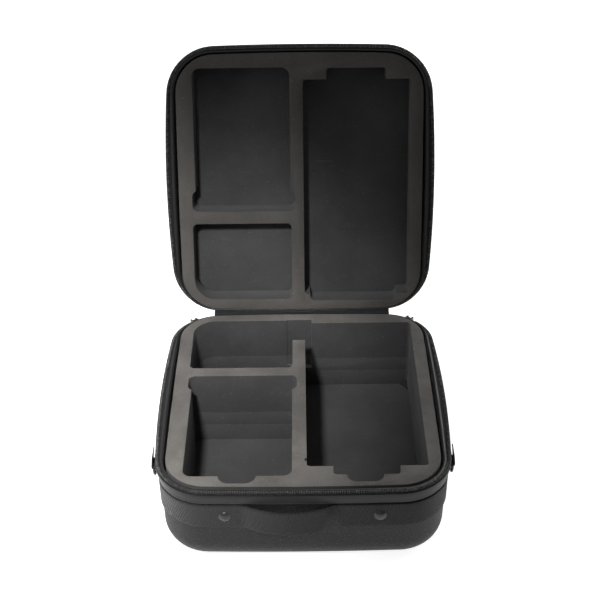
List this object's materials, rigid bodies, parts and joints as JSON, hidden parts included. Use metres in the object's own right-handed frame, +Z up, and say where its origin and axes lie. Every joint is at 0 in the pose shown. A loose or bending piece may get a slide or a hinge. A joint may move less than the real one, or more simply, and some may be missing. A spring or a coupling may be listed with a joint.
{
  "type": "hard carry case with foam inserts",
  "caption": "Zipped moulded carry case standing open: fabric-hinged lid, die-cut foam pockets in both halves, webbing strap with slack handle, side rings.",
  "frame": {"origin": "middle of the flat underside of the base", "axes": "+Z up, -Y towards the front with the handle, +Y towards the hinge, +X to the right seen from the front"},
  "size_m": [0.279, 0.4116, 0.3562],
  "materials": {
    "shell": "pebbled skin over moulded foam",
    "foam": "matte closed-cell foam",
    "lining": "smooth nylon",
    "zip_coil": "satin coil",
    "trim_fabric": "woven tape",
    "webbing": "ribbed webbing",
    "rivet": "satin black",
    "ring_metal": "satin black",
    "slider_metal": "satin black",
    "pull_metal": "satin black"
  },
  "bodies": {
    "base": {"base_shell": "shell", "base_lining": "lining", "base_foam_floor": "foam", "base_foam_lower": "foam", "base_foam_middle": "foam", "base_foam_upper": "foam", "base_rim_binding": "trim_fabric", "base_zip_tape": "trim_fabric", "base_zip_facing": "trim_fabric", "base_zip_teeth": "zip_coil", "base_spine_leaf": "trim_fabric", "hinge_cord": "trim_fabric", "body_strap_left": "webbing", "body_strap_right": "webbing", "handle_root_left": "webbing", "handle_root_right": "webbing", "handle_rivets": "rivet", "side_tab_left": "webbing", "side_tab_right": "webbing"},
    "lid": {"lid_shell": "shell", "lid_lining": "lining", "lid_foam_backing": "foam", "lid_foam_frame": "foam", "lid_rim_binding": "trim_fabric", "lid_zip_tape": "trim_fabric", "lid_zip_facing": "trim_fabric", "lid_zip_teeth": "zip_coil", "lid_spine_leaf": "trim_fabric"},
    "handle": {"handle_grip": "webbing"},
    "ring_left": {"d_ring_left": "ring_metal"},
    "ring_right": {"d_ring_right": "ring_metal"},
    "slider_left": {"zip_slider_left": "slider_metal"},
    "slider_right": {"zip_slider_right": "slider_metal"},
    "pull_left": {"pull_tab_left": "pull_metal"},
    "pull_right": {"pull_tab_right": "pull_metal"}
  },
  "joints": [
    {"name": "lid_hinge", "type": "hinge", "parent": "base", "child": "lid", "pos_m": [0, 0.142, 0.09], "axis": [-1, 0, 0], "range_deg": [-107, 38]},
    {"name": "handle_swing", "type": "hinge", "parent": "base", "child": "handle", "pos_m": [-0.012, -0.1342, 0.06], "axis": [-1, 0, 0], "range_deg": [-20, 25]},
    {"name": "ring_left_swing", "type": "hinge", "parent": "base", "child": "ring_left", "pos_m": [-0.1366, -0.073, 0.071], "axis": [0, 1, 0], "range_deg": [-5, 140]},
    {"name": "ring_right_swing", "type": "hinge", "parent": "base", "child": "ring_right", "pos_m": [0.1366, -0.073, 0.071], "axis": [0, -1, 0], "range_deg": [-5, 140]},
    {"name": "slider_left_run", "type": "hinge", "parent": "base", "child": "slider_left", "pos_m": [-0.08415, 0.09, 0.0824], "axis": [0, 0, 1], "range_deg": [0, 44]},
    {"name": "slider_right_run", "type": "hinge", "parent": "base", "child": "slider_right", "pos_m": [0.08415, 0.09, 0.0824], "axis": [0, 0, -1], "range_deg": [0, 44]},
    {"name": "pull_left_swing", "type": "hinge", "parent": "slider_left", "child": "pull_left", "pos_m": [-0.11404, 0.13783, 0.0838], "axis": [0.848, 0.5299, 0], "range_deg": [-4, 40]},
    {"name": "pull_right_swing", "type": "hinge", "parent": "slider_right", "child": "pull_right", "pos_m": [0.11404, 0.13783, 0.0838], "axis": [0.848, -0.5299, 0], "range_deg": [-4, 40]}
  ]
}
